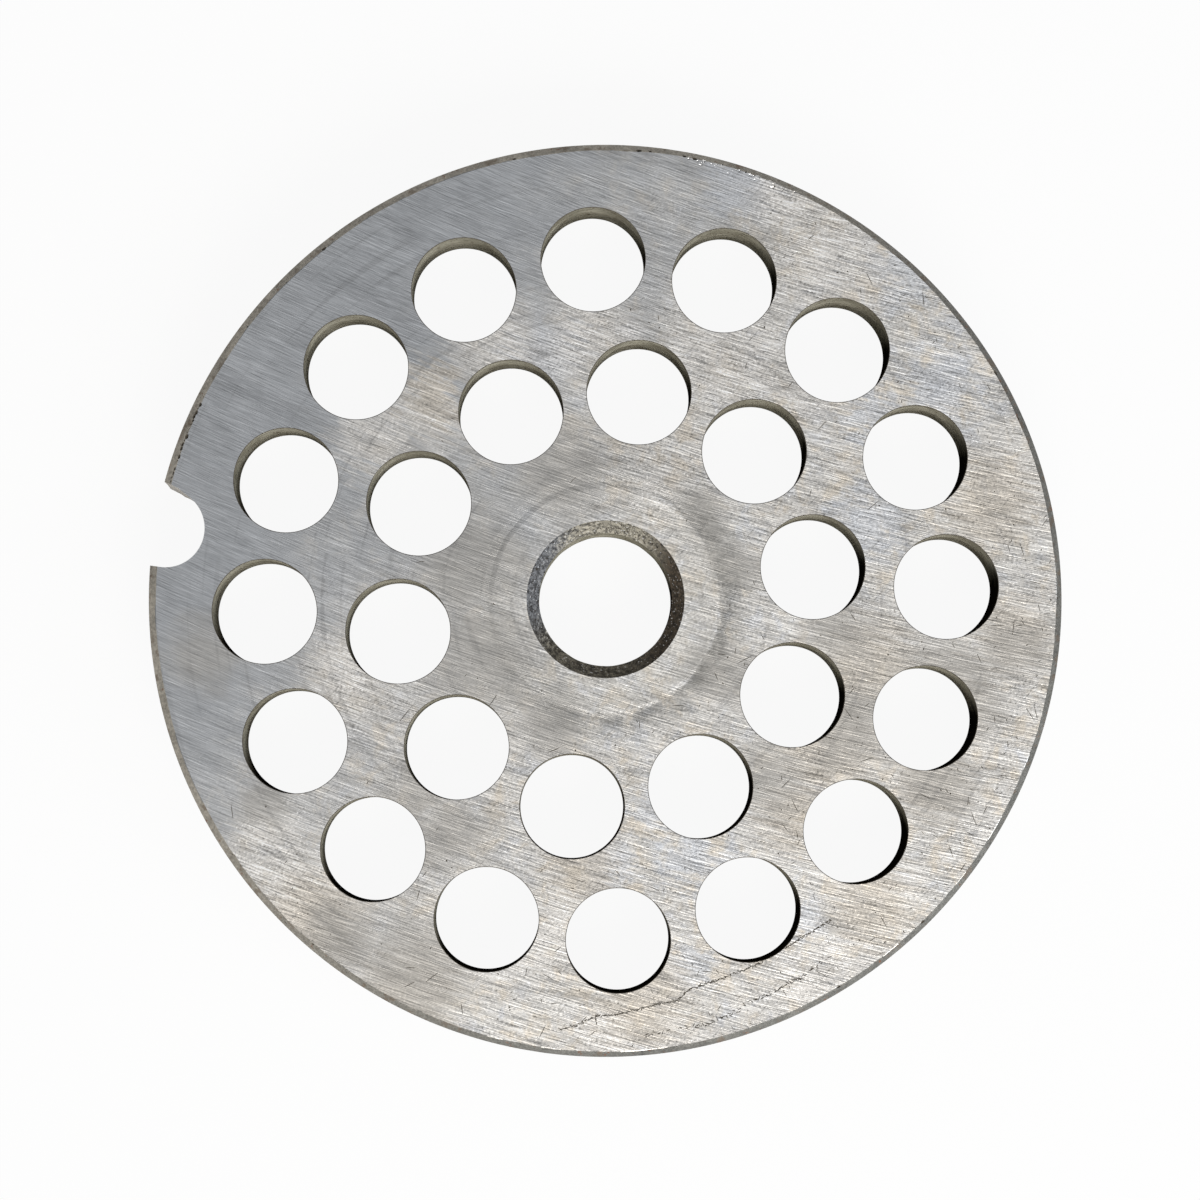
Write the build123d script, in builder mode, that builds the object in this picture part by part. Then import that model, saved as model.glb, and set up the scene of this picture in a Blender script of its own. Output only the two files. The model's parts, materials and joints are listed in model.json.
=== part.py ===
"""Perforated plate of a meat grinder: one disc of hardened steel, ground flat on both faces.

The knife turns flat against the plate and cuts the meat at the rims of the holes as it is pushed
through them. The bore steadies the end of the feed screw, and a pin in the grinder's barrel
sits in the notch in the rim, so that the plate can't turn with the knife.

Lengths are in millimetres. The origin is on the bore's axis in the back face, +Z points out of
the cutting face, and the notch is at -X.
"""

import os
from math import floor, pi

from build123d import *

# Turned blank
plate_diameter = 70.0
plate_thickness = 8.0
rim_chamfer = 0.42

# Bore for the pin of the feed screw, countersunk from both faces
bore_diameter = 10.2
countersink_diameter = 12.1
countersink_angle = 90.0

# Circle that the knife's hub has worn into the cutting face
hub_wear_diameter = 17.4
hub_wear_depth = 0.05

# Holes that the meat is pushed through, in rings from the rim inwards
hole_diameter = 8.0
rim_land = 4.87
ring_web = 2.05
hole_web = 2.0
hub_land = 3.0

# Notch for the barrel's pin: a slot with a round bottom
notch_width = 6.0
notch_depth = 3.85
notch_direction = 180.0

# Sizes that follow from the ones above
plate_radius = plate_diameter / 2
hole_radius = hole_diameter / 2
notch_radius = notch_width / 2
notch_centre = plate_radius - notch_depth + notch_radius
solid_hub_radius = max(countersink_diameter, hub_wear_diameter) / 2 + hub_land

# The outer ring leaves the rim land, and further rings follow until they would reach the hub
ring_radii = []
ring_radius = plate_radius - rim_land - hole_radius
while ring_radius - hole_radius >= solid_hub_radius:
    ring_radii.append(ring_radius)
    ring_radius -= hole_diameter + ring_web


def holes_in_ring(radius):
    """How many holes a ring takes with at least the hole web left between neighbours."""
    return floor(2 * pi * radius / (hole_diameter + hole_web))


with BuildPart() as grinder_plate:
    # Disc as it comes off the lathe, with the sharp corner of its rim broken at both faces
    with BuildSketch(Plane.XY):
        Circle(plate_radius)
    extrude(amount=plate_thickness)
    rim_edges = grinder_plate.edges().filter_by(GeomType.CIRCLE)
    chamfer(rim_edges, length=rim_chamfer)

    cutting_face = grinder_plate.faces().sort_by(Axis.Z)[-1]
    back_face = grinder_plate.faces().sort_by(Axis.Z)[0]

    # Shallow circle left by the rubbing hub of the knife
    with BuildSketch(cutting_face):
        Circle(hub_wear_diameter / 2)
    extrude(amount=-hub_wear_depth, mode=Mode.SUBTRACT)

    # Bore with its two countersinks, which lead the feed screw's pin in from either side
    for face, sink_depth in ((cutting_face, hub_wear_depth), (back_face, 0.0)):
        with Locations(Plane(face).offset(-sink_depth)):
            CounterSinkHole(
                radius=bore_diameter / 2,
                counter_sink_radius=countersink_diameter / 2,
                counter_sink_angle=countersink_angle,
            )

    # Rings of holes, turned by half a pitch so that the notch lies midway between two holes
    for radius in ring_radii:
        hole_count = holes_in_ring(radius)
        half_pitch = 180.0 / hole_count
        with Locations(Plane(cutting_face)):
            with PolarLocations(radius, hole_count, start_angle=notch_direction + half_pitch):
                Hole(radius=hole_radius)

    # Notch milled into the finished rim, so that its own corners stay sharp
    with BuildSketch(Plane.XY):
        with PolarLocations(notch_centre, 1, start_angle=notch_direction):
            Circle(notch_radius)
            Rectangle(notch_depth, notch_width, align=(Align.MIN, Align.CENTER))
    extrude(amount=plate_thickness, mode=Mode.SUBTRACT)

grinder_plate.part.label = "grinder_plate"

os.makedirs("parts", exist_ok=True)
export_step(grinder_plate.part, "parts/grinder_plate.step")

print("rings:", [(round(radius, 3), holes_in_ring(radius)) for radius in ring_radii])
print("volume mm3:", round(grinder_plate.part.volume, 1))
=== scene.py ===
# %% [markdown]
# # A worn meat grinder plate
#
# The plate is one disc of hardened steel, 70 mm across. Its face was ground flat on a big cup wheel, and
# years of work under the knife have scratched, stained and pitted it. Everything that makes it look real is
# either cut into the mesh, as a machinist would cut it, or worked into the finish of each surface.
#
# The script keeps to the order of the workshop: turn the blank, drill it, mill the notch, add the wear,
# and then give each surface its finish. Lengths are in metres, so millimetres are written as `8 * MM`.

import json
from math import atan2, cos, hypot, pi, radians, sin
from random import Random

import bmesh
import bpy
from mathutils import Matrix, Vector, noise


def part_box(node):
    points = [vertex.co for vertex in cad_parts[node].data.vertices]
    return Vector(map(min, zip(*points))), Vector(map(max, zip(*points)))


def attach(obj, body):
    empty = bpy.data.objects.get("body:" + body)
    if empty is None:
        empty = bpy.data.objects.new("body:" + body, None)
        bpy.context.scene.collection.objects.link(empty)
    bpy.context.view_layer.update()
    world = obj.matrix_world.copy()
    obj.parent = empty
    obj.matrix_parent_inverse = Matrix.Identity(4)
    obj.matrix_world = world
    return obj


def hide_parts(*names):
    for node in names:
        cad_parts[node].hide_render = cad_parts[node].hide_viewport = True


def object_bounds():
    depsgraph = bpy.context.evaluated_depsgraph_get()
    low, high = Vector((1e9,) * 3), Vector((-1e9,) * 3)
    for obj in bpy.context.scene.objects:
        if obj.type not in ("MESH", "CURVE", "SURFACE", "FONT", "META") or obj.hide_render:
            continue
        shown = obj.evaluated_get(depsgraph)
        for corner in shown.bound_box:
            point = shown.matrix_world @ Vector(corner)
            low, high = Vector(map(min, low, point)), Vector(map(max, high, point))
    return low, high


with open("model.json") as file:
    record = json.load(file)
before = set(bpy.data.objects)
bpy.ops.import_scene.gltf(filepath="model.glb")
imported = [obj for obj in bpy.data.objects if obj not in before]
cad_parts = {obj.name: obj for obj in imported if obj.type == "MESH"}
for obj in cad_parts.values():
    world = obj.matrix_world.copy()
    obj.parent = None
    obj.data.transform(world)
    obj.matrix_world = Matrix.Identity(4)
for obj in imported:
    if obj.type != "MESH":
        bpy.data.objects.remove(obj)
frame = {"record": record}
cad_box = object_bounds()
scene = bpy.context.scene
MM = 0.001

# %% [markdown]
# ## Sizes
#
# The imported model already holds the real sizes, so the looks are built from them. The box of the node gives
# the disc, and the record's mounts give the bore, the rim and the notch. The holes are listed as openings,
# and the middle of each opening is the axis of its hole. Only what the frame can't tell is written as
# a number.

# %% Read the plate's sizes from the frame
far_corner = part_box("grinder_plate")[1]
plate_radius = far_corner.x
thickness = far_corner.z

mounts = {mount["name"]: mount for mount in frame["record"]["mounts"]}
bore_radius = mounts["bore"]["dims"]["r_mm"] * MM
bore_length = mounts["bore"]["dims"]["length_mm"] * MM
rim_chamfer = (thickness - mounts["rim"]["dims"]["length_mm"] * MM) / 2
edge_radius = plate_radius - rim_chamfer
notch_centre = Vector((mounts["locating_notch"]["pos_m"][0], 0, 0))

hole_places = []
for opening in frame["record"]["physics"]["openings"]:
    if "hole" in opening["name"]:
        low_corner, high_corner = (Vector(corner) for corner in opening["box_m"])
        middle = (low_corner + high_corner) / 2
        hole_places.append(Vector((middle.x, middle.y, 0)))

hole_radius = 4 * MM
notch_radius = 3 * MM
hub_wear_radius = 8.7 * MM
hub_wear_depth = 0.05 * MM
sink_depth = (thickness - hub_wear_depth - bore_length) / 2
sink_radius = bore_radius + sink_depth
print(f"plate {plate_radius / MM:.2f} x {thickness / MM:.2f} mm, {len(hole_places)} holes")

# %% [markdown]
# ## A finish for each kind of surface
#
# The wheel, the lathe, the drill and the forge scale in the countersink each leave their own surface. So each
# gets a material of its own, and so does the dirt in the pits. They are made empty here, because the cutters
# further down carry them into the blank: a Boolean cut gives the new wall the cutter's material.

# %% Name the finishes
FINISHES = ("ground_face", "turned_rim", "drilled_wall", "scaled_sink", "pit_dirt")
finish = {name: bpy.data.materials.new(name) for name in FINISHES}
for made in finish.values():
    made.use_nodes = True
print("finishes:", ", ".join(finish))

# %% [markdown]
# ## Turning the blank
#
# A lathe makes every round form of the plate at once, and Blender's spin does the same: half of the section
# is drawn once and swept round the bore's axis. A cylinder with Boolean cuts would also work, but the spin
# gives tidy rings of vertices at the rim and in the countersinks, which the wear can push about later.
#
# The knife's hub has rubbed the middle a little lower. The steel it pushed aside stands as a faint lip round
# the worn circle, with a shallow groove outside it. They are only hundredths of a millimetre high, but bare
# steel shows them as a thin light line and a thin dark one.

# %% Spin a half section
merge_distance = 1e-4 * MM


def spun(section, steps, cuts_at=(), cuts=0):
    """Sweeps a closed half section of (radius, height) points round the Z axis. The edges that start at the
    points numbered in cuts_at are divided first, so that they can be roughened."""
    shape = bmesh.new()
    corners = [shape.verts.new((radius, 0, height)) for radius, height in section]
    edges = [shape.edges.new(ends) for ends in zip(corners, corners[1:] + corners[:1])]
    if cuts:
        bmesh.ops.subdivide_edges(shape, edges=[edges[number] for number in cuts_at], cuts=cuts)
    bmesh.ops.spin(shape, geom=shape.verts[:] + shape.edges[:], cent=(0, 0, 0), axis=(0, 0, 1),
                   angle=2 * pi, steps=steps, use_merge=True)
    bmesh.ops.remove_doubles(shape, verts=shape.verts, dist=merge_distance)
    bmesh.ops.recalc_face_normals(shape, faces=shape.faces)
    return shape


# %% Turn the blank with its chamfers, bore and countersinks
blank_steps = 720
edge_break = 0.025 * MM
edge_drop = 0.02 * MM
hub_slope = 1.5 * MM
lip_width = 0.1 * MM
lip_drop = 0.005 * MM
groove_start = 0.3 * MM
groove_end = 1.0 * MM
groove_depth = 0.025 * MM
sink_cuts = 7
wear_plane = thickness - hub_wear_depth
blank_section = [
    (bore_radius, sink_depth),
    (bore_radius, wear_plane - sink_depth),
    (sink_radius, wear_plane),
    (hub_wear_radius - hub_slope, wear_plane),
    (hub_wear_radius - lip_width, thickness - lip_drop),
    (hub_wear_radius + groove_start, thickness - groove_depth),
    (hub_wear_radius + groove_end, thickness),
    (edge_radius - edge_break, thickness),
    (edge_radius + edge_drop, thickness - edge_drop),
    (plate_radius, thickness - rim_chamfer),
    (plate_radius, rim_chamfer),
    (edge_radius + edge_drop, edge_drop),
    (edge_radius - edge_break, 0),
    (sink_radius, 0),
]
sink_edges = (1, 13)
blank = spun(blank_section, blank_steps, cuts_at=sink_edges, cuts=sink_cuts)
print("blank:", len(blank.faces), "faces")

# %% [markdown]
# ## Uneven edges and a rough countersink
#
# Nothing on a used plate is as true as the lathe left it. The chamfer was filed by hand, the circle under the
# knife's hub wandered, and the countersink was never cleaned of its scale. Each ring of vertices is pushed by
# a little smooth noise. The countersink also goes down into small pits, always into the steel and never out.
# The last line of the loop holds every point inside the plate's true width.

# %% Choose how far each surface strays
rim_wander = 0.05 * MM
filed_extra = 0.13 * MM
filed_side = Vector((-0.98, 0.18, 0))
hub_wander = 0.15 * MM
slow_wave = 4 * MM

chip_reach = 0.07 * MM
chip_size = 0.7 * MM
chip_from = 0.25

bore_wander = 0.05 * MM
bore_wave = 1.3 * MM
bore_limit = bore_radius * 1.001

scale_depth = 0.06 * MM
scale_lump = 0.55 * MM
scale_grain = 0.22 * MM
grain_share = 0.6
sink_limit = sink_radius * 0.999


def wander(place, size, seed):
    """Smooth noise between about -1 and 1, with features of the given size."""
    return noise.noise(place / size + Vector((seed, seed, seed)))


# %% Push the rings about
for vert in blank.verts:
    place = vert.co.copy()
    radius = hypot(place.x, place.y)
    outward = Vector((place.x, place.y, 0)) / radius
    is_front = place.z > thickness / 2
    if abs(radius - edge_radius) < 2 * edge_break:
        shift = wander(place, slow_wave, seed=3) * rim_wander
        shift -= max(0, wander(place, chip_size, seed=9) - chip_from) * chip_reach
        shift -= max(0, outward.dot(filed_side)) * filed_extra
        vert.co += outward * shift
    elif is_front and abs(radius - hub_wear_radius) < 1.1 * hub_slope:
        vert.co += outward * wander(place, slow_wave, seed=5) * hub_wander
    elif radius < bore_limit:
        vert.co += outward * max(0, wander(place, bore_wave, seed=7)) * bore_wander
    elif bore_limit < radius < sink_limit:
        rough = abs(wander(place, scale_lump, seed=11))
        rough += grain_share * abs(wander(place, scale_grain, seed=17))
        vert.co -= vert.normal * rough * scale_depth
    vert.co.y = min(max(vert.co.y, cad_box[0][1]), cad_box[1][1])
print("edges and countersinks worn")

# %% [markdown]
# ## Which finish goes where
#
# Before anything is cut, the blank's faces are told apart by where they are: flat and level is ground, the
# outside is turned, and what is inside the countersink's mouth is scale. The narrow broken edge between the
# face and the chamfer is rubbed as bright as the face in some stretches, and dull as the chamfer in others,
# so noise decides between the two.

# %% Give the blank its finishes
bore_zone = bore_radius * 1.005
rim_zone = 0.9 * plate_radius
steepest_ground = 0.8
level = 0.99
stretch_size = 2.5 * MM
dull_below = 0.15
for face in blank.faces:
    middle = face.calc_center_median()
    radius = hypot(middle.x, middle.y)
    upright = abs(face.normal.z)
    is_dull = wander(middle, stretch_size, seed=29) < dull_below
    if radius < bore_zone:
        surface = "drilled_wall"
    elif radius < sink_radius:
        surface = "scaled_sink"
    elif upright < steepest_ground:
        surface = "turned_rim"
    elif radius > rim_zone and upright < level and is_dull:
        surface = "turned_rim"
    else:
        surface = "ground_face"
    face.material_index = FINISHES.index(surface)


# %% Make the blank an object
def as_object(name, shape, finishes):
    """Turns a bmesh into a scene object with the named finishes as its material slots."""
    mesh = bpy.data.meshes.new(name)
    shape.to_mesh(mesh)
    shape.free()
    for each in finishes:
        mesh.materials.append(finish[each])
    made = bpy.data.objects.new(name, mesh)
    scene.collection.objects.link(made)
    return made


plate = as_object("plate", blank, FINISHES)
print("plate:", len(plate.data.polygons), "faces")

# %% [markdown]
# ## Cutting with tools
#
# A drill or a mill takes away exactly its own shape, and so does the Boolean modifier. All cutters of one
# kind are joined into one mesh and cut together. The modifier is applied at once: its result becomes the
# plate's mesh, and the cutter is thrown away. The Manifold solver is quick and leaves no open edge, as long
# as both solids are closed.

# %% Cut the plate with a tool
def cut_with(tool):
    """Cuts the tool's shape out of the plate, leaves its finish on the new walls, and removes the tool."""
    step = plate.modifiers.new("cut", "BOOLEAN")
    step.operation = "DIFFERENCE"
    step.solver = "MANIFOLD"
    step.material_mode = "TRANSFER"
    step.object = tool
    depsgraph = bpy.context.evaluated_depsgraph_get()
    cut_mesh = bpy.data.meshes.new_from_object(plate.evaluated_get(depsgraph))
    plate.modifiers.clear()
    plate.data = cut_mesh
    tool_mesh = tool.data
    bpy.data.objects.remove(tool)
    bpy.data.meshes.remove(tool_mesh)


def repeated(shape, placings):
    """One bmesh with a copy of the shape at each placing, a 4x4 matrix."""
    pattern = bpy.data.meshes.new("pattern")
    shape.to_mesh(pattern)
    shape.free()
    together = bmesh.new()
    for placing in placings:
        before = len(together.verts)
        together.from_mesh(pattern)
        together.verts.ensure_lookup_table()
        bmesh.ops.transform(together, matrix=placing, verts=together.verts[before:])
    bpy.data.meshes.remove(pattern)
    return together


# %% [markdown]
# ## The drilled holes
#
# The rims of the holes are the plate's cutting edges, so they are nearly sharp. But a truly sharp edge never
# catches the light, and a real one does. So the drill's section flares by a few hundredths of a millimetre
# where it leaves each face, and the cut breaks the edge by itself. That is safer than a Bevel modifier here,
# which would trip over the many small faces round each hole. Dirt stays on this broken edge, so that part of
# the drill carries another finish.

# %% Drill the holes
hole_steps = 120
hole_edge_break = 0.05 * MM
tool_overrun = 0.4 * MM
flare_slope = 0.5
flare = hole_radius + hole_edge_break + tool_overrun
drill = spun([
    (0, -tool_overrun),
    (flare, -tool_overrun),
    (hole_radius, hole_edge_break),
    (hole_radius, thickness - hole_edge_break),
    (flare, thickness + tool_overrun),
    (0, thickness + tool_overrun),
], hole_steps)
drill_finishes = ("drilled_wall", "pit_dirt")
for face in drill.faces:
    surface = "pit_dirt" if abs(face.normal.z) > flare_slope else "drilled_wall"
    face.material_index = drill_finishes.index(surface)
drills = repeated(drill, [Matrix.Translation(place) for place in hole_places])
cut_with(as_object("drills", drills, drill_finishes))
print("drilled", len(hole_places), "holes:", len(plate.data.polygons), "faces")

# %% [markdown]
# ## The locating notch
#
# A mill of the pin's size ran in from the rim. Its path is a disc whose outer half is moved out past the rim,
# which makes a slot with a round bottom. The disc is then extruded through the plate. Its wall is as dull as
# the rim, so it gets the rim's finish.

# %% Mill the notch
notch_steps = 72
notch_reach = 3 * MM
barely_left = -1e-6
slot = bmesh.new()
bmesh.ops.create_circle(slot, cap_ends=True, radius=notch_radius, segments=notch_steps)
outer_half = [vert for vert in slot.verts if vert.co.x < barely_left]
bmesh.ops.translate(slot, vec=(-notch_reach, 0, 0), verts=outer_half)
bmesh.ops.translate(slot, vec=notch_centre - Vector((0, 0, tool_overrun)), verts=slot.verts)
risen = bmesh.ops.extrude_face_region(slot, geom=slot.faces[:])
risen_verts = [item for item in risen["geom"] if isinstance(item, bmesh.types.BMVert)]
bmesh.ops.translate(slot, vec=(0, 0, thickness + 2 * tool_overrun), verts=risen_verts)
bmesh.ops.recalc_face_normals(slot, faces=slot.faces)
cut_with(as_object("mill", slot, ["turned_rim"]))
print("notch milled:", len(plate.data.polygons), "faces")

# %% [markdown]
# The pin has broken one corner of the notch, from the face right through to the back. Hard steel breaks in
# shells. So the cutter is a ball, made lumpy with noise and then stretched long, thin and tall. Its widest
# part is level with the cutting face, and the chip narrows a little towards the back.

# %% Break one corner of the notch
broken_size = (2.6 * MM, 0.62 * MM, 14 * MM)
broken_place = (-35.3 * MM, 2.98 * MM, thickness)
broken_turn = radians(-12)
lump_height = 0.10
lump_scale = 2.5
chip = bmesh.new()
bmesh.ops.create_icosphere(chip, subdivisions=3, radius=1)
for vert in chip.verts:
    vert.co *= 1 + lump_height * noise.noise(vert.co * lump_scale)
stretch = Matrix.Diagonal((*broken_size, 1))
placing = Matrix.Translation(broken_place) @ Matrix.Rotation(broken_turn, 4, "Z") @ stretch
bmesh.ops.transform(chip, matrix=placing, verts=chip.verts)
cut_with(as_object("chip", chip, ["turned_rim"]))
print("corner broken:", len(plate.data.polygons), "faces")

# %% [markdown]
# ## Pits, cuts and nicks
#
# The dark specks on the face are real pits: grit under the knife, and spots where salt has eaten the steel.
# A flattened ball that is half sunk in the face leaves such a dish, and a long thin one leaves the cut of
# a hard splinter. Their places come from a seeded generator, so each run gives the same plate. A spot is used
# only where there is steel all round it.

# %% Find room on the face
chance = Random(41)


def on_steel(x, y, margin=0.25 * MM):
    """True where the face has steel for at least the margin all round."""
    place = Vector((x, y, 0))
    clear = [(place - centre).length > hole_radius + margin for centre in hole_places]
    clear.append((place - notch_centre).length > notch_radius + margin)
    clear.append(sink_radius + margin < place.length < edge_radius - margin)
    return all(clear)


def sized(least, extra, share):
    """A length of the least millimetres, plus a share of the extra ones."""
    return (least + extra * share) * MM


def dent(x, y, length, width, depth, turn):
    """Placing of a flattened ball, half sunk in the cutting face."""
    shape = Matrix.Diagonal((length / 2, width / 2, depth, 1))
    return Matrix.Translation((x, y, thickness)) @ Matrix.Rotation(turn, 4, "Z") @ shape


# %% Scatter pits and short cuts over the worn side
worn_side = Vector((0.9, -0.44, 0))
pit_tries = 1700
cut_tries = 1500
kept_anywhere = 0.22
kept_where_worn = 0.65
kept_in_crowds = 0.6
crowd_size = 4 * MM
pit_depth = 0.03 * MM
cut_width = 0.065 * MM
cut_depth = 0.02 * MM
cut_lean = radians(60)
cut_fan = 0.9
dents = []
for attempt in range(pit_tries + cut_tries):
    distance = plate_radius * chance.random() ** 0.5
    angle = chance.uniform(0, 2 * pi)
    x, y = distance * cos(angle), distance * sin(angle)
    worn = (x * worn_side.x + y * worn_side.y) / plate_radius
    size, turn = chance.random(), chance.uniform(0, pi)
    crowd = wander(Vector((x, y, 0)), crowd_size, seed=23)
    kept = kept_anywhere + kept_where_worn * worn + kept_in_crowds * crowd
    if not on_steel(x, y) or chance.random() > kept:
        continue
    if attempt < pit_tries:
        dents.append(dent(x, y, sized(0.07, 0.16, size ** 3), sized(0.06, 0.06, size), pit_depth, turn))
    else:
        lean = cut_lean + cut_fan * (turn - pi / 2)
        dents.append(dent(x, y, sized(0.30, 1.2, size ** 3), cut_width, cut_depth, lean))
print(len(dents), "pits and cuts")

# %% [markdown]
# Near the rim, pits have joined into two jagged cracks, and the longer one has a short side branch. A crack
# follows a few named points, in millimetres. Long thin dents follow each other along it, each a little askew.
# The second crack is fainter: its dents stray further from the line, and some are left out.

# %% Run the cracks
crack_lines = (
    ((1.8, -33.0), (3.0, -32.5), (4.3, -31.6), (5.9, -31.2), (8.7, -30.0), (10.3, -29.4), (11.1, -28.4),
     (13.1, -27.4), (15.6, -25.9), (17.7, -24.3), (19.5, -22.7), (20.9, -21.5)),
    ((4.3, -31.6), (4.5, -32.2)),
    ((8.0, -32.6), (9.9, -31.8), (12.3, -31.1), (14.3, -29.9), (16.9, -27.9), (19.3, -26.2), (21.3, -24.3)),
)
crack_stray = (0.04, 0.03, 0.08)
crack_cover = (1.0, 1.0, 0.6)
crack_skew = 0.55
crack_margin = 0.12 * MM
crack_depth = 0.035 * MM
crack_spacing = (0.08, 0.15)


def crack(points, stray, cover):
    """Placings of thin dents along straight lines between the points."""
    placings = []
    for first, last in zip(points, points[1:]):
        start, along = Vector(first), Vector(last) - Vector(first)
        travelled = 0.0
        while travelled < along.length:
            spot = start + along * (travelled / along.length)
            spot += Vector((chance.gauss(0, stray), chance.gauss(0, stray)))
            heading = atan2(along.y, along.x) + chance.gauss(0, crack_skew)
            length = sized(0.22, 0.3, chance.random() ** 2)
            x, y = spot * MM
            if chance.random() < cover and on_steel(x, y, crack_margin):
                width = sized(0.06, 0.04, chance.random())
                placings.append(dent(x, y, length, width, crack_depth, heading))
            travelled += chance.uniform(*crack_spacing)
    return placings


chains = []
for points, stray, cover in zip(crack_lines, crack_stray, crack_cover):
    chains += crack(points, stray, cover)
print(len(chains), "dents in cracks")

# %% [markdown]
# The edge between the face and the chamfer was knocked in a few places. Balls that sit on that edge leave
# small round nicks. Beside the notch's broken corner the edge has crumbled, so the nicks run together there.

# %% Nick the rim
nick_count = 26
nick_range = (-172, 160)
nick_stray = (-0.05, 0.1)
nick_sink = 0.05 * MM
crumble_start = 174
crumble_pitch = 0.55
crumble_count = 22


def edge_dent(angle, reach, size, stretch, flatness):
    """Placing of a dent at an angle and a distance from the axis, stretched along the plate's edge."""
    x, y = reach * cos(angle), reach * sin(angle)
    return dent(x, y, stretch * size, size, flatness * size, angle + pi / 2)


nicks = []
sunk = Matrix.Translation((0, 0, -nick_sink))
crumbled = [radians(crumble_start - crumble_pitch * number) for number in range(crumble_count)]
scattered = [radians(chance.uniform(*nick_range)) for number in range(nick_count)]
for angle in crumbled + scattered:
    size = sized(0.10, 0.22, chance.random() ** 2)
    reach = edge_radius + chance.uniform(*nick_stray) * MM
    reach -= max(0, Vector((cos(angle), sin(angle), 0)).dot(filed_side)) * filed_extra
    nicks.append(sunk @ edge_dent(angle, reach, size, stretch=1.6, flatness=0.4))
print(len(nicks), "nicks")

# %% [markdown]
# The Manifold solver wants solids that don't overlap. So the dents are sorted into groups in which none
# touches another, and each group is cut by itself.

# %% Press all marks in
def kept_apart(placings):
    """Sorts placings into groups in which no two dents touch."""
    groups = []
    for placing in placings:
        centre = placing.translation.xy
        reach = max(placing.col[0].length, placing.col[1].length)
        for group in groups:
            if all((centre - other).length > reach + far for other, far, _ in group):
                group.append((centre, reach, placing))
                break
        else:
            groups.append([(centre, reach, placing)])
    return [[placing for _, _, placing in group] for group in groups]


def press_in(placings, surface):
    """Cuts a ball at each placing and leaves the surface's finish in the dent."""
    for group in kept_apart(placings):
        ball = bmesh.new()
        bmesh.ops.create_icosphere(ball, subdivisions=1, radius=1)
        cut_with(as_object("marks", repeated(ball, group), [surface]))


press_in(chains + nicks + dents, "pit_dirt")
print("marks cut in:", len(plate.data.polygons), "faces")

# %% [markdown]
# One stretch of the same edge was bruised not long ago. These dents are still bare metal, so they keep the
# finish of the face, and their tilted walls glint.

# %% Bruise one stretch of the edge
bruise_from = radians(89)
bruise_to = radians(74)
bruise_tries = 46
bruise_spread = 0.5 * MM
bruises = []
for number in range(bruise_tries):
    angle = bruise_from + (bruise_to - bruise_from) * chance.random()
    reach = edge_radius - bruise_spread * chance.random() ** 2
    size = sized(0.10, 0.16, chance.random() ** 2)
    bruises.append(edge_dent(angle, reach, size, stretch=1.7, flatness=0.3))
press_in(bruises, "ground_face")
print("edge bruised:", len(plate.data.polygons), "faces")

# %% [markdown]
# ## Smooth walls, crisp edges
#
# Round walls have to look round, and edges have to stay edges. So every face is shaded smooth, and
# edges that turn by more than 25 degrees are marked sharp. The step of the worn circle turns by less, but it
# borders on the wide flat face, which must stay level. So the face's own edges are held to a finer limit.

# %% Shade the plate
sharp_turn = radians(25)
level_turn = radians(1.5)
plate.data.shade_smooth()
plate.data.set_sharp_from_angle(angle=sharp_turn)
shape = bmesh.new()
shape.from_mesh(plate.data)
ground_slot = FINISHES.index("ground_face")
for edge in shape.edges:
    borders_ground = any(face.material_index == ground_slot for face in edge.link_faces)
    if borders_ground and edge.calc_face_angle(0) > level_turn:
        edge.smooth = False
shape.to_mesh(plate.data)
shape.free()
triangles = sum(len(face.vertices) - 2 for face in plate.data.polygons)
print("plate:", triangles, "triangles")

# %% [markdown]
# ## Painted shade on one side of each wall
#
# The side of each hole's wall and of the bore that faces away from the key panel is painted nearly black,
# as painted shade. How dark it is painted is stored on the mesh as a named attribute, which the finish of
# the walls reads. It follows the direction from the middle of the hole to the wall.

# %% Store the painted shade on the walls
# The side of the walls that faces away from the key panel, where painted shade goes.
painted_shade_side = Vector((0.49, -0.87))
wall_slot = FINISHES.index("drilled_wall")
centres = [place.xy for place in hole_places] + [Vector((0, 0))]
painted_wall_shade = plate.data.attributes.new("painted_wall_shade", "FLOAT", "POINT")
wall_faces = [face for face in plate.data.polygons if face.material_index == wall_slot]
wall_verts = {number for face in wall_faces for number in face.vertices}
for number in wall_verts:
    spot = plate.data.vertices[number].co.xy
    nearest = min(centres, key=lambda centre: (spot - centre).length)
    painted_wall_shade.data[number].value = (spot - nearest).normalized().dot(painted_shade_side)
print("film stored on", len(wall_verts), "points")

# %% [markdown]
# ## Helpers for the finishes
#
# A finish is a small web of nodes. These helpers add a node and return its output, so that the recipes below
# read as sums: add this noise, mix it with that colour. A value may be a number or another node's output.
# Most of a noise lies between 0.3 and 0.7, so a rise that starts at 0.6 picks out only its highest spots.

# %% Add nodes in one line each
def fill(tree, target, fills):
    """Fills a node's inputs: a number or a colour goes on the input itself, and an output is linked to it."""
    for socket, value in fills.items():
        if isinstance(value, bpy.types.NodeSocket):
            tree.links.new(value, target.inputs[socket])
        else:
            target.inputs[socket].default_value = value


def node(tree, kind, fills, **settings):
    """Adds a node, applies its settings and fills its inputs."""
    made = tree.nodes.new(kind)
    for name, value in settings.items():
        setattr(made, name, value)
    fill(tree, made, fills)
    return made


def sums(tree, operation, first, second=0.0):
    """The result of a Math node."""
    return node(tree, "ShaderNodeMath", {0: first, 1: second}, operation=operation).outputs[0]


def scaled(tree, value, gain):
    """A value times a gain."""
    return sums(tree, "MULTIPLY", value, gain)


def total_of(tree, *parts):
    """All parts added up."""
    result = parts[0]
    for part in parts[1:]:
        result = sums(tree, "ADD", result, part)
    return result


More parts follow.
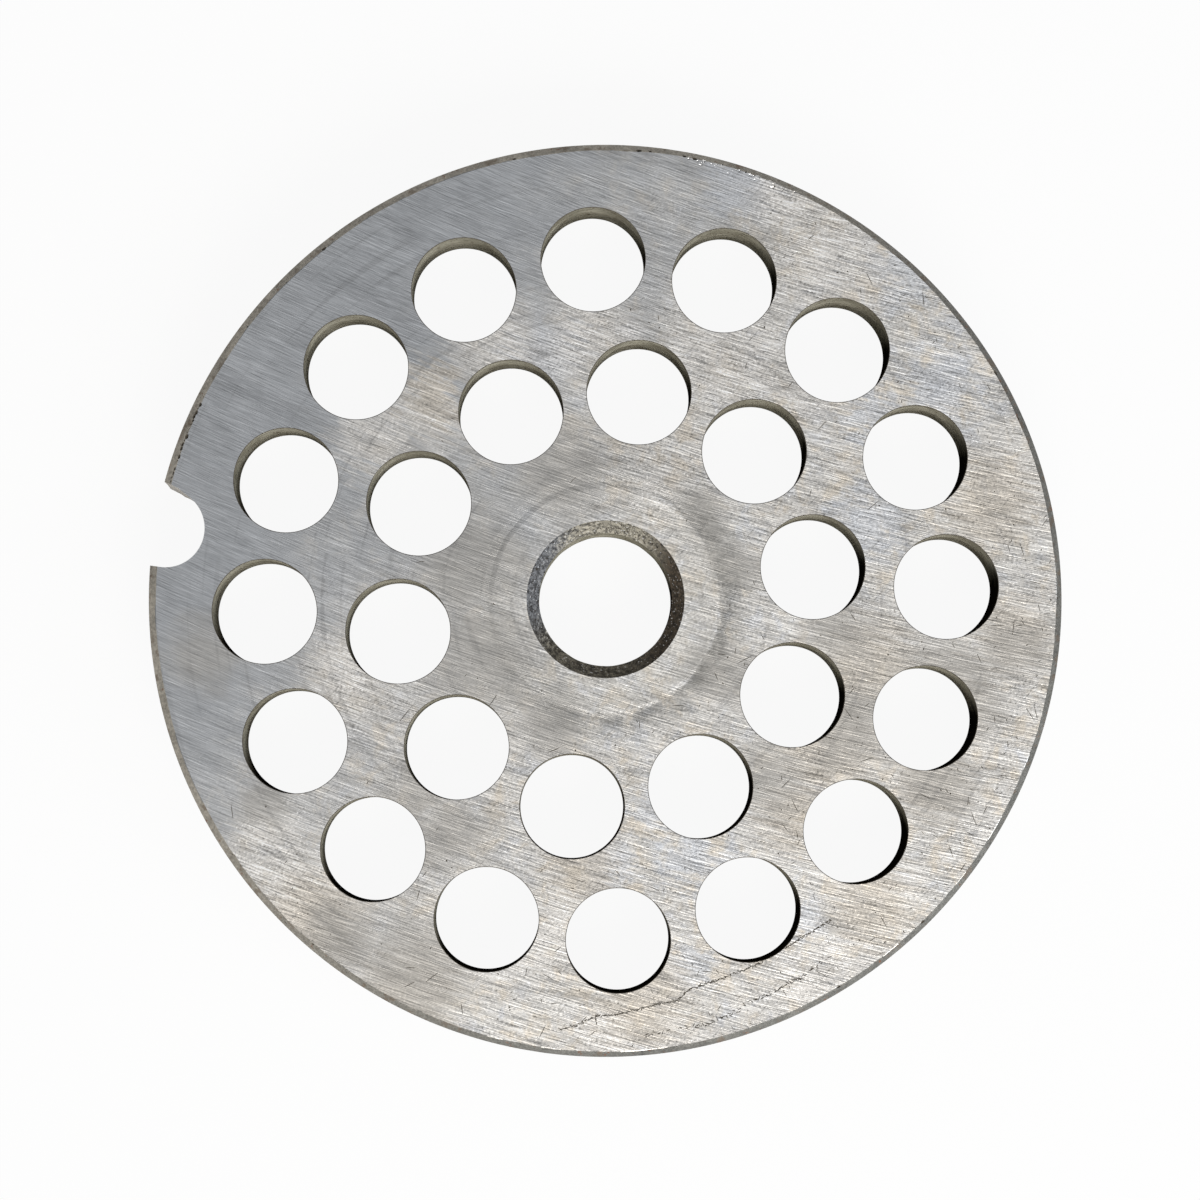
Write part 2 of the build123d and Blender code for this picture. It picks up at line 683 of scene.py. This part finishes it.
def rising(tree, value, start, end):
    """0 at start, 1 at end, and a smooth rise between them."""
    return node(tree, "ShaderNodeMapRange", {"Value": value, "From Min": start, "From Max": end},
                interpolation_type="SMOOTHSTEP").outputs[0]


# %% Mix colours
def blended(tree, share, first, second, blend_type="MIX"):
    """The second colour over the first one by a share from 0 to 1. Sockets 6, 7 and 2 are for colours."""
    return node(tree, "ShaderNodeMix", {0: share, 6: first, 7: second}, data_type="RGBA",
                blend_type=blend_type).outputs[2]


def shaded(tree, tone, light):
    """A colour made darker or lighter by a value around 1."""
    grey = node(tree, "ShaderNodeCombineColor", {0: light, 1: light, 2: light}).outputs[0]
    return blended(tree, 1.0, tone, grey, "MULTIPLY")


# %% Spread noise over the piece
def millimetres(tree):
    """Where a point lies on the piece, in millimetres."""
    texture_place = tree.nodes.new("ShaderNodeTexCoord").outputs["Object"]
    return node(tree, "ShaderNodeVectorMath", {0: texture_place, 1: (1 / MM,) * 3},
                operation="MULTIPLY").outputs[0]


def cloud(tree, place, scale, detail=2.0, roughness=0.5, distortion=0.0):
    """Noise from 0 to 1. The scale is in features per unit of the place."""
    return node(tree, "ShaderNodeTexNoise", {
        "Vector": place, "Scale": scale, "Detail": detail, "Roughness": roughness, "Distortion": distortion,
    }).outputs["Fac"]


def centred(tree, value, gain):
    """A noise value moved to swing about 0, times the gain."""
    return scaled(tree, sums(tree, "SUBTRACT", value, 0.5), gain)


def stretched(tree, place, along, across, seed=0.0):
    """A place squeezed so that noise on it has features `along` long and `across` wide, in millimetres."""
    return node(tree, "ShaderNodeMapping", {
        "Vector": place, "Location": (seed, seed, 0), "Scale": (1 / along, 1 / across, 1),
    }).outputs[0]


def bumped(tree, height, depth):
    """A normal that follows the height, whose full range is the depth in metres."""
    return node(tree, "ShaderNodeBump", {"Strength": 1.0, "Distance": depth, "Height": height}).outputs[0]


# %% Find the way round an axis, and mark single spots
def round_the(tree, place, centre):
    """Polar place about an upright axis: how far out from it, and the angle round it in radians."""
    arm = node(tree, "ShaderNodeVectorMath", {0: place, 1: (*centre, 0)}, operation="SUBTRACT").outputs[0]
    parts = node(tree, "ShaderNodeSeparateXYZ", {0: arm})
    flat = node(tree, "ShaderNodeCombineXYZ", {0: parts.outputs[0], 1: parts.outputs[1]}).outputs[0]
    out = node(tree, "ShaderNodeVectorMath", {0: flat}, operation="LENGTH").outputs["Value"]
    turn = sums(tree, "ARCTAN2", parts.outputs[1], parts.outputs[0])
    return out, turn


spot_core = 0.25


def spots(tree, place, centres, ragged):
    """1 in the core of each (x, y, reach) spot in millimetres and 0 outside, with ragged borders."""
    total = 0.0
    for x, y, reach in centres:
        middle = (x, y, thickness / MM)
        far = node(tree, "ShaderNodeVectorMath", {0: place, 1: middle}, operation="DISTANCE").outputs["Value"]
        inside = rising(tree, total_of(tree, far, ragged), reach, spot_core * reach)
        total = sums(tree, "MAXIMUM", inside, total)
    return total


# %% [markdown]
# Each recipe below is a function. It gets the node tree and the place on the piece, and it returns what goes
# into the inputs of the finish's shader.

# %% Build a recipe in its finish
def build(name, recipe):
    """Runs the recipe in the named finish and fills the shader with what it returns."""
    tree = finish[name].node_tree
    fill(tree, tree.nodes["Principled BSDF"], recipe(tree, millimetres(tree)))
    print(name, "has", len(tree.nodes), "nodes")


# %% [markdown]
# ## The ground face
#
# A cup wheel much bigger than the plate went over the face, so its lines are arcs of a large circle, and they
# look almost straight. The lines are noise that is stretched along those arcs. The middle of the circle lies
# far outside the plate. The plate was ground twice, so there are two such middles.

# %% Lay the wheel's arcs
first_wheel = (49.8, 288.9)
second_wheel = (22.0, 292.0)
wheel_arm = hypot(*first_wheel)


def arcs(tree, place, centre, arm, along, across, seed=0.0, detail=1.0):
    """Noise that runs in arcs round the centre: features `along` long on a circle of the arm's radius."""
    out, turn = round_the(tree, place, centre)
    unrolled = node(tree, "ShaderNodeCombineXYZ", {0: scaled(tree, turn, arm), 1: out}).outputs[0]
    return cloud(tree, stretched(tree, unrolled, along, across, seed), 1.0, detail)


# %% [markdown]
# The plate is used on one side more than on the other. Near the notch its steel is still cool and clean, and
# it gets paler and livelier towards the far lower side, where the paleness is partly wear and partly painted
# light. Over this lie single stains of fat and salt, each given as a middle and a reach in millimetres.
# Their borders are ragged and run out along the wheel's lines.

# %% Place the stains
dull_spots = (
    (-10.7, 1.3, 6.5), (-8.3, -6.0, 6.5), (-4.8, 9.0, 5.5), (6.6, 7.2, 3.0), (9.5, 4.1, 3.0),
    (9.6, -4.5, 4.0), (-2.9, -10.1, 4.0), (14.9, -12.0, 4.0), (20.6, -7.0, 4.5), (18.1, 0.7, 4.0),
    (27.2, -2.2, 6.0), (31.2, 1.1, 4.0), (27.6, -10.3, 4.0), (-29.5, -9.0, 4.5), (-23.5, -19.4, 3.0),
    (-9.0, -20.0, 4.5), (-12.0, -17.0, 3.5), (-9.8, -30.0, 6.5), (-15.4, -28.6, 4.5),
)
milky_spots = (
    (19.1, 9.2, 4.0), (-7.3, 18.8, 4.0), (12.1, -19.8, 3.5), (15.7, 5.6, 3.0), (22.8, 20.0, 4.5),
    (9.5, -18.7, 2.5), (3.6, -20.4, 3.0), (10.9, -26.7, 2.5), (19.1, -22.2, 2.0), (5.6, 33.5, 4.0),
    (19.1, 28.9, 4.5), (17.7, 17.5, 3.5), (6.8, -15.6, 3.0),
)
bright_spots = (
    (-11.5, 18.1, 5.0), (-15.7, 12.1, 4.5), (-19.1, 9.5, 4.5), (-18.5, -9.0, 5.0), (-4.5, 20.0, 5.0),
    (-22.5, -23.0, 4.0), (-19.5, -25.7, 4.5), (-4.6, -26.5, 6.0), (1.1, -26.3, 4.5), (8.9, 33.0, 4.0),
    (12.7, 28.0, 6.0), (6.0, 20.5, 6.5), (12.8, 19.1, 4.0), (5.0, -33.0, 4.0), (20.6, -26.2, 5.0),
    (13.1, 31.9, 4.0), (30.5, 15.0, 3.0), (2.9, 8.4, 3.0),
)
tan_spots = (
    (27.8, 12.2, 5.0), (31.1, 2.2, 4.0), (18.3, -8.0, 6.0), (20.5, -1.8, 5.0), (26.9, -3.8, 5.0),
    (27.0, -10.0, 4.0), (16.9, -14.0, 4.0), (-18.1, -27.8, 5.0), (-9.6, -31.9, 5.0), (7.8, -29.6, 5.0),
    (23.8, -19.9, 4.5), (1.7, -20.5, 3.5), (-15.4, 13.3, 3.0),
)

# %% Find how worn each place is
worn_turn = radians(-26)


def towards_worn(tree, place):
    """How far a point lies towards the worn side, in millimetres from the bore's axis."""
    parts = node(tree, "ShaderNodeSeparateXYZ", {0: place})
    return total_of(tree, scaled(tree, parts.outputs[0], cos(worn_turn)),
                    scaled(tree, parts.outputs[1], sin(worn_turn)))


def face_masks(tree, place):
    """Values over the face by name: how worn, dull, bright and lively it is, and what its borders follow."""
    across = towards_worn(tree, place)
    ragged = centred(tree, cloud(tree, place, 0.12, 3, 0.6), 26.0)
    dull = spots(tree, place, dull_spots, centred(tree, cloud(tree, place, 0.35, 2), 5.0))
    stain = cloud(tree, place, 0.55, 3, 0.65, 0.4)
    coarse = arcs(tree, place, first_wheel, wheel_arm, 5.0, 0.40, seed=5)
    border = total_of(tree, centred(tree, stain, 6.0), centred(tree, coarse, 6.0))
    bright = spots(tree, place, bright_spots, border)
    worn = rising(tree, total_of(tree, across, ragged), -27.0, 4.0)
    worn = sums(tree, "MINIMUM", total_of(tree, worn, scaled(tree, bright, 0.6)), 1.0)
    lively = scaled(tree, worn, sums(tree, "SUBTRACT", 1.0, scaled(tree, dull, 0.6)))
    return {"across": across, "stain": stain, "coarse": coarse, "border": border,
            "dull": dull, "bright": bright, "worn": worn, "lively": lively}


# %% [markdown]
# The colours go on like thin washes, one over the other, each only as strong as its mask says. They differ
# by very little, but bare steel without them looks like grey paint.

# %% Colour the steel and its stains
clean_steel_painted_shade = (0.44, 0.455, 0.475, 1)
worn_steel_painted_light = (0.675, 0.66, 0.635, 1)
warm_stain = (0.62, 0.565, 0.485, 1)
cool_stain = (0.68, 0.70, 0.74, 1)
milky_stain = (0.66, 0.685, 0.73, 1)
bright_steel = (0.80, 0.775, 0.74, 1)
tan_stain = (0.62, 0.56, 0.475, 1)
dull_steel = (0.44, 0.425, 0.40, 1)


def stained_steel(tree, place, mask):
    """Cool clean steel, paler towards the worn side as wear and painted light, and warm or milky stains."""
    stain, lively = mask["stain"], mask["lively"]
    # Painted light: the steel is painted paler towards the worn side, where the panels stand, on top of the
    # wear.
    tone = blended(tree, mask["worn"], clean_steel_painted_shade, worn_steel_painted_light)
    warm = scaled(tree, rising(tree, stain, 0.49, 0.68), scaled(tree, lively, 0.75))
    tone = blended(tree, warm, tone, warm_stain)
    cool = scaled(tree, rising(tree, stain, 0.47, 0.33), scaled(tree, lively, 0.5))
    tone = blended(tree, cool, tone, cool_stain)
    milky = spots(tree, place, milky_spots, mask["border"])
    tone = blended(tree, scaled(tree, milky, 0.6), tone, milky_stain)
    streaks = rising(tree, mask["coarse"], 0.40, 0.60)
    bright = scaled(tree, mask["bright"], total_of(tree, 0.4, scaled(tree, streaks, 0.5)))
    tone = blended(tree, bright, tone, bright_steel)
    tan = spots(tree, place, tan_spots, mask["border"])
    tone = blended(tree, scaled(tree, tan, 0.6), tone, tan_stain)
    return blended(tree, scaled(tree, mask["dull"], 0.7), tone, dull_steel)


# %% [markdown]
# Three sizes of lines are laid over each other: hair-fine ones, coarser ones that catch the light, and broad
# bands where the wheel bit deeper. The second pass adds single flashes and grooves at a slight angle. Between
# the lines the steel is speckled, and steep dark hairlines cross it. All of this is much stronger on the worn
# side than near the notch.

# %% Draw the wheel's lines
steep_turn = radians(-58)
darkest = 0.35
lightest = 1.5


def wheel_lines(tree, place, mask, hair):
    """Light and dark of the wheel's lines and of the specks between them, as a value around 1."""
    lively = mask["lively"]
    second = arcs(tree, place, second_wheel, wheel_arm, 3.5, 0.13, seed=7)
    bands = arcs(tree, place, first_wheel, wheel_arm, 20.0, 1.8, seed=11)
    flashes = scaled(tree, rising(tree, second, 0.60, 0.69), 0.45)
    grooves = scaled(tree, rising(tree, second, 0.36, 0.28), -0.30)
    lines = total_of(tree, centred(tree, hair, 1.5), centred(tree, mask["coarse"], 0.6), flashes, grooves)
    lines = scaled(tree, lines, total_of(tree, scaled(tree, lively, 0.56), 0.46))
    grain = cloud(tree, place, 5.0, 1.5, 0.6)
    flecks = scaled(tree, rising(tree, grain, 0.63, 0.72), 0.45)
    specks = scaled(tree, rising(tree, grain, 0.35, 0.25), -0.35)
    mottle = total_of(tree, centred(tree, grain, 1.1), flecks, specks)
    mottle = scaled(tree, mottle, total_of(tree, scaled(tree, lively, 0.95), 0.05))
    swing = total_of(tree, lines, mottle, centred(tree, bands, 0.40), centred(tree, mask["stain"], 0.35))
    steep = node(tree, "ShaderNodeMapping", {"Vector": place, "Rotation": (0, 0, steep_turn)}).outputs[0]
    steep = cloud(tree, stretched(tree, steep, 3.0, 0.13, seed=31), 1.0, 1.0)
    steep = scaled(tree, rising(tree, steep, 0.62, 0.70), scaled(tree, lively, -0.22))
    light = total_of(tree, swing, steep, 1.0)
    return sums(tree, "MINIMUM", sums(tree, "MAXIMUM", light, darkest), lightest)


# %% [markdown]
# The knife turns against the face and leaves arcs round the bore: wide soft smears, and a few narrow strokes
# where the tips of its blades ran. Its hub has rubbed one side of the worn circle pale, and just outside the
# circle the face is darker, mostly on that side.

# %% Add what the knife left
knife_reach = 14.0
knife_tips = (19.1, 21.7, 22.6)
smear_grey = (0.16, 0.16, 0.16, 1)
stroke_grey = (0.15, 0.15, 0.15, 1)
hub_steel = (0.82, 0.79, 0.73, 1)
hub_dark_ring = (0.15, 0.145, 0.13, 1)


def knife_marks(tree, place, mask, tone):
    """The tone with the knife's arcs round the bore, the pale hub circle and a darker ring round it."""
    stain = mask["stain"]
    reach = round_the(tree, place, (0, 0))[0]
    hub_side = rising(tree, mask["across"], -6.0, 7.0)
    smears = arcs(tree, place, (0.4, -0.3), knife_reach, 9.0, 0.7, seed=3, detail=2)
    tone = blended(tree, scaled(tree, rising(tree, smears, 0.56, 0.70), 0.20), tone, smear_grey)
    fresh = sums(tree, "SUBTRACT", 1.0, scaled(tree, hub_side, 0.7))
    strokes = rising(tree, arcs(tree, place, (0.2, 0.1), knife_reach, 6.0, 0.45, seed=19), 0.40, 0.62)
    for tip in knife_tips:
        near = sums(tree, "ABSOLUTE", total_of(tree, reach, centred(tree, stain, 1.2), -tip))
        stroke = scaled(tree, rising(tree, near, 0.30, 0.08), scaled(tree, fresh, strokes))
        tone = blended(tree, scaled(tree, stroke, 0.26), tone, stroke_grey)
    beyond = total_of(tree, reach, centred(tree, stain, 1.0), -hub_wear_radius / MM)
    inside = scaled(tree, rising(tree, beyond, 0.0, -0.3), scaled(tree, hub_side, 0.22))
    tone = blended(tree, inside, tone, hub_steel)
    # A darker ring just outside the worn circle, patchy and strongest on the worn side.
    outside_dark = scaled(tree, rising(tree, beyond, -0.05, 0.15), rising(tree, beyond, 2.8, 0.3))
    patchy = scaled(tree, rising(tree, stain, 0.72, 0.38), hub_side)
    outside_dark = scaled(tree, outside_dark, total_of(tree, scaled(tree, patchy, 0.42), 0.06))
    return blended(tree, outside_dark, tone, hub_dark_ring)


# %% [markdown]
# Steel is a metal, so its colour is the colour of its mirror image. The coarse lines also change how rough it
# is, and the hair-fine ones tilt its normal a little, so that the light breaks up along them.

# %% Put the ground face together
face_rough = 0.38
hair_depth = 0.03 * MM


def ground_face(tree, place):
    """Bare ground steel with its stains, the wheel's lines and the knife's marks."""
    mask = face_masks(tree, place)
    hair = arcs(tree, place, first_wheel, wheel_arm, 2.2, 0.11)
    tone = stained_steel(tree, place, mask)
    tone = shaded(tree, tone, wheel_lines(tree, place, mask, hair))
    tone = knife_marks(tree, place, mask, tone)
    rough = total_of(tree, face_rough, scaled(tree, mask["worn"], 0.08), centred(tree, mask["coarse"], 0.3))
    return {"Base Color": tone, "Metallic": 1.0, "Roughness": rough, "Normal": bumped(tree, hair, hair_depth)}


build("ground_face", ground_face)

# %% [markdown]
# ## The turned rim
#
# The rim and its chamfers were turned and never ground. They are duller and browner than the face, with
# fine rings from the lathe, a mottled oxide and a few specks of red rust. The notch and its broken corner
# share this finish.

# %% Recipe of the turned rim
rim_brown_painted_light = (0.42, 0.39, 0.335, 1)
rim_grey = (0.165, 0.163, 0.15, 1)
rim_oxide = (0.17, 0.12, 0.08, 1)
red_rust = (0.20, 0.075, 0.03, 1)
rim_metal = 0.35
rim_rough = 0.42
ring_depth = 0.015 * MM


def turned_rim(tree, place):
    """Half dull metal, brown and painted paler on the notch's side, which the panels barely light, grey
    elsewhere.
    """
    mottle = cloud(tree, place, 0.55, 4, 0.65)
    side = rising(tree, total_of(tree, towards_worn(tree, place), centred(tree, mottle, 25.0)), -22.0, 20.0)
    # Painted light: the notch's side, which the panels barely reach, is painted a paler brown.
    tone = blended(tree, side, rim_brown_painted_light, rim_grey)
    fine = cloud(tree, place, 5.0, 3, 0.65)
    tone = shaded(tree, tone, total_of(tree, centred(tree, mottle, 1.3), centred(tree, fine, 1.6), 1.0))
    oxide = rising(tree, cloud(tree, place, 0.9, 3, 0.6), 0.54, 0.66)
    tone = blended(tree, scaled(tree, oxide, 0.55), tone, rim_oxide)
    rust = rising(tree, cloud(tree, place, 1.6, 4, 0.65), 0.62, 0.70)
    tone = blended(tree, scaled(tree, rust, 0.7), tone, red_rust)
    rough = total_of(tree, rim_rough, scaled(tree, mottle, 0.25))
    feed = node(tree, "ShaderNodeMapping", {"Vector": place, "Scale": (0.2, 0.2, 9)}).outputs[0]
    rings = bumped(tree, total_of(tree, cloud(tree, feed, 1.0, 3), fine), ring_depth)
    return {"Base Color": tone, "Metallic": rim_metal, "Roughness": rough, "Normal": rings}


build("turned_rim", turned_rim)

# %% [markdown]
# ## The drilled walls
#
# Fat and rust have browned the walls of the holes. They are seen at a flat angle, where bare metal would
# mirror the table below, so the film on them matters more than the steel: it is dull, without any shine, and
# nearly black where it dried thickest.

# %% Recipe of the drilled walls
wall_dark = (0.25, 0.235, 0.18, 1)
wall_pale = (0.47, 0.45, 0.365, 1)
wall_turns = (0.13, 0.12, 0.09, 1)
rust_specks = (0.07, 0.035, 0.018, 1)
painted_shade_black = (0.010, 0.008, 0.006, 1)
wall_rough = 0.8
turn_depth = 0.03 * MM


def drilled_wall(tree, place):
    """Brown film over the drill's turns, with specks of rust, and painted shade on the side away from the
    key.
    """
    patches = cloud(tree, place, 0.35, 4, 0.6)
    tone = blended(tree, rising(tree, patches, 0.3, 0.7), wall_dark, wall_pale)
    feed = node(tree, "ShaderNodeMapping", {"Vector": place, "Scale": (0.7, 0.7, 5)}).outputs[0]
    turns = cloud(tree, feed, 1.0, 3)
    tone = blended(tree, rising(tree, turns, 0.52, 0.70), tone, wall_turns)
    specks = rising(tree, cloud(tree, place, 3.2, 3, 0.6), 0.58, 0.66)
    tone = blended(tree, scaled(tree, specks, 0.8), tone, rust_specks)
    # Painted shade: darkens the side of each wall that faces away from the key panel.
    side = node(tree, "ShaderNodeAttribute", {}, attribute_name="painted_wall_shade").outputs["Fac"]
    painted_dark = rising(tree, total_of(tree, side, centred(tree, patches, 0.7)), -0.26, 0.32)
    tone = blended(tree, painted_dark, tone, painted_shade_black)
    return {"Base Color": tone, "Roughness": wall_rough, "Specular IOR Level": 0.0,
            "Normal": bumped(tree, turns, turn_depth)}


build("drilled_wall", drilled_wall)

# %% [markdown]
# ## Scale in the countersink
#
# The countersink still has its black scale from the furnace, broken up by pale spots where it flaked off,
# which are painted bright as glints. Over the scale lie painted light and shade: pale at the top, bluish grey
# on one side as painted light from the cooler panel, brown below and nearly black on the far side as painted
# shade. It has small pits.

# %% Recipe of the scale
scale_painted_lit = (0.30, 0.28, 0.23, 1)
scale_painted_cool_left = (0.14, 0.145, 0.155, 1)
scale_painted_shade_below = (0.11, 0.095, 0.07, 1)
scale_painted_shade_right = (0.075, 0.058, 0.04, 1)
scale_pits = (0.03, 0.022, 0.015, 1)
bare_spots_painted_glints = (0.75, 0.76, 0.78, 1)
scale_metal = 0.15
scale_rough = 0.6
flake_depth = 0.08 * MM


def scaled_sink(tree, place):
    """Flaky furnace scale, painted lit at the top and left and painted shaded below and on the right."""
    flakes = cloud(tree, place, 3.0, 5, 0.7)
    parts = node(tree, "ShaderNodeSeparateXYZ", {0: place})
    side = total_of(tree, parts.outputs[0], centred(tree, flakes, 5.0))
    lower = total_of(tree, parts.outputs[1], centred(tree, flakes, 5.0))
    # Painted light and shade: lit at the top, cool-lit on the left, shaded below and darkest on the right.
    tone = blended(tree, rising(tree, side, -2.5, -5.0), scale_painted_lit, scale_painted_cool_left)
    tone = blended(tree, scaled(tree, rising(tree, lower, -1.5, -5.0), 0.75), tone, scale_painted_shade_below)
    tone = blended(tree, rising(tree, side, 2.0, 5.0), tone, scale_painted_shade_right)
    speckle = centred(tree, rising(tree, flakes, 0.36, 0.62), 1.3)
    tone = shaded(tree, tone, total_of(tree, 1.0, speckle))
    pitted = rising(tree, cloud(tree, place, 4.5, 3, 0.65), 0.55, 0.63)
    tone = blended(tree, scaled(tree, pitted, 0.85), tone, scale_pits)
    # Painted glints on pale bare spots of the scale.
    glints = rising(tree, cloud(tree, place, 6.0, 2, 0.6), 0.66, 0.70)
    tone = blended(tree, glints, tone, bare_spots_painted_glints)
    return {"Base Color": tone, "Metallic": scale_metal, "Roughness": scale_rough,
            "Normal": bumped(tree, flakes, flake_depth)}


build("scaled_sink", scaled_sink)

# %% [markdown]
# ## Dirt in the pits
#
# The pits, cracks and nicks hold packed dirt, which is simply dark and dull.

# %% Recipe of the dirt
dirt_dark = (0.04, 0.035, 0.03, 1)
dirt_pale = (0.15, 0.13, 0.10, 1)
dirt_rough = 0.8
dirt_shine = 0.2


def pit_dirt(tree, place):
    """Dark gritty dirt with very little shine."""
    tone = blended(tree, cloud(tree, place, 8.0, 2), dirt_dark, dirt_pale)
    return {"Base Color": tone, "Roughness": dirt_rough, "Specular IOR Level": dirt_shine}


build("pit_dirt", pit_dirt)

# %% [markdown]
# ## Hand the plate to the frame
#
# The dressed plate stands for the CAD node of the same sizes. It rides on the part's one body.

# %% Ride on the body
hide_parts("grinder_plate")
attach(plate, "root")
print("plate rides on root")

# %% [markdown]
# ## Floor
#
# The plate lies flat on a plain white table. Where the camera or a reflection sees the table, most of its
# white is its own, so that it reads as a clean background, and the rest is lit and keeps the plate's shadow.
# The table lies a hair below the plate, so that the two surfaces don't flicker through each other.

# %% Lay the floor
floor_half = 1.5
floor_gap = 0.01 * MM
floor_own_white = 0.93
floor_grey = (0.8, 0.8, 0.8, 1)
floor_rough = 0.9
floor_shape = bmesh.new()
bmesh.ops.create_grid(floor_shape, x_segments=1, y_segments=1, size=floor_half)
bmesh.ops.translate(floor_shape, vec=(0, 0, -floor_gap), verts=floor_shape.verts)
floor = as_object("floor", floor_shape, [])

floor_finish = bpy.data.materials.new("floor_white")
floor_finish.use_nodes = True
tree = floor_finish.node_tree
matt = tree.nodes["Principled BSDF"]
fill(tree, matt, {"Base Color": floor_grey, "Roughness": floor_rough})
glow = node(tree, "ShaderNodeEmission", {"Color": (1, 1, 1, 1), "Strength": 1.0})
path = tree.nodes.new("ShaderNodeLightPath").outputs
seen = sums(tree, "MAXIMUM", path["Is Camera Ray"], path["Is Glossy Ray"])
seen = sums(tree, "MAXIMUM", seen, path["Is Transmission Ray"])
share = scaled(tree, seen, floor_own_white)
mixed = node(tree, "ShaderNodeMixShader", {0: share, 1: matt.outputs[0], 2: glow.outputs[0]})
tree.links.new(mixed.outputs[0], tree.nodes["Material Output"].inputs["Surface"])
floor.data.materials.append(floor_finish)
print("floor laid")

# %% [markdown]
# ## Light
#
# Soft studio light: a grey room that fills the shadows, a warm key panel in front of the plate, a cooler and
# weaker one to its right, and a large one high above. Bare steel shows the room more than itself, so the
# places of the panels, together with painted light in the steel's colour, make the face shade from cool grey
# near the notch to pale on the far side. The walls on the right of the holes face away from all of them and
# carry painted shade, so they stay black.

# %% Set the lights
picture_turn = radians(9.17)
room_grey = (0.24, 0.243, 0.247, 1)


def seen_from_above(x, y, z):
    """A place given as right, up and towards the camera in the picture, turned into the plate's frame."""
    return Matrix.Rotation(picture_turn, 3, "Z") @ Vector((x, y, z)) * MM


def soft_panel(name, place, size, power, colour):
    """Hangs a square area light that faces the plate. Its place and size are in millimetres."""
    light = bpy.data.lights.new(name, "AREA")
    light.size = size * MM
    light.energy = power
    light.color = colour
    lamp = bpy.data.objects.new(name, light)
    lamp.location = seen_from_above(*place)
    lamp.rotation_mode = "QUATERNION"
    lamp.rotation_quaternion = (-lamp.location).to_track_quat("-Z", "Y")
    scene.collection.objects.link(lamp)


soft_panel("key_panel", place=(86, -362, 340), size=300, power=1.85, colour=(1.0, 0.965, 0.92))
soft_panel("side_panel", place=(344, -213, 240), size=220, power=0.7, colour=(0.88, 0.94, 1.0))
soft_panel("top_panel", place=(110, -90, 700), size=700, power=0.8, colour=(1.0, 1.0, 1.0))

room = bpy.data.worlds.new("room")
room.use_nodes = True
room.node_tree.nodes["Background"].inputs["Color"].default_value = room_grey
scene.world = room
scene.view_settings.view_transform = "Standard"
print("lights:", len(bpy.data.lights))

# %% [markdown]
# ## Camera
#
# The camera hangs about 40 cm over the plate with a long lens and leans by two degrees. That is why the
# walls of the holes at the top show, and those at the bottom hide. The picture is turned by a few
# degrees against the plate's own axes.

# %% Hang the camera
camera_place = (-4.31, -15.75, 415.73)
camera_lean = radians(2.203)
camera_swing = radians(-0.545)
camera_lens = 159.8
camera_data = bpy.data.cameras.new("camera")
camera_data.sensor_width = 36
camera_data.lens = camera_lens
camera_data.clip_start = 10 * MM
camera = bpy.data.objects.new("camera", camera_data)
camera.location = seen_from_above(*camera_place)
camera.rotation_mode = "YXZ"
camera.rotation_euler = (camera_lean, camera_swing, picture_turn)
scene.collection.objects.link(camera)
scene.camera = camera
print("camera at", [round(value / MM) for value in camera.location], "mm")
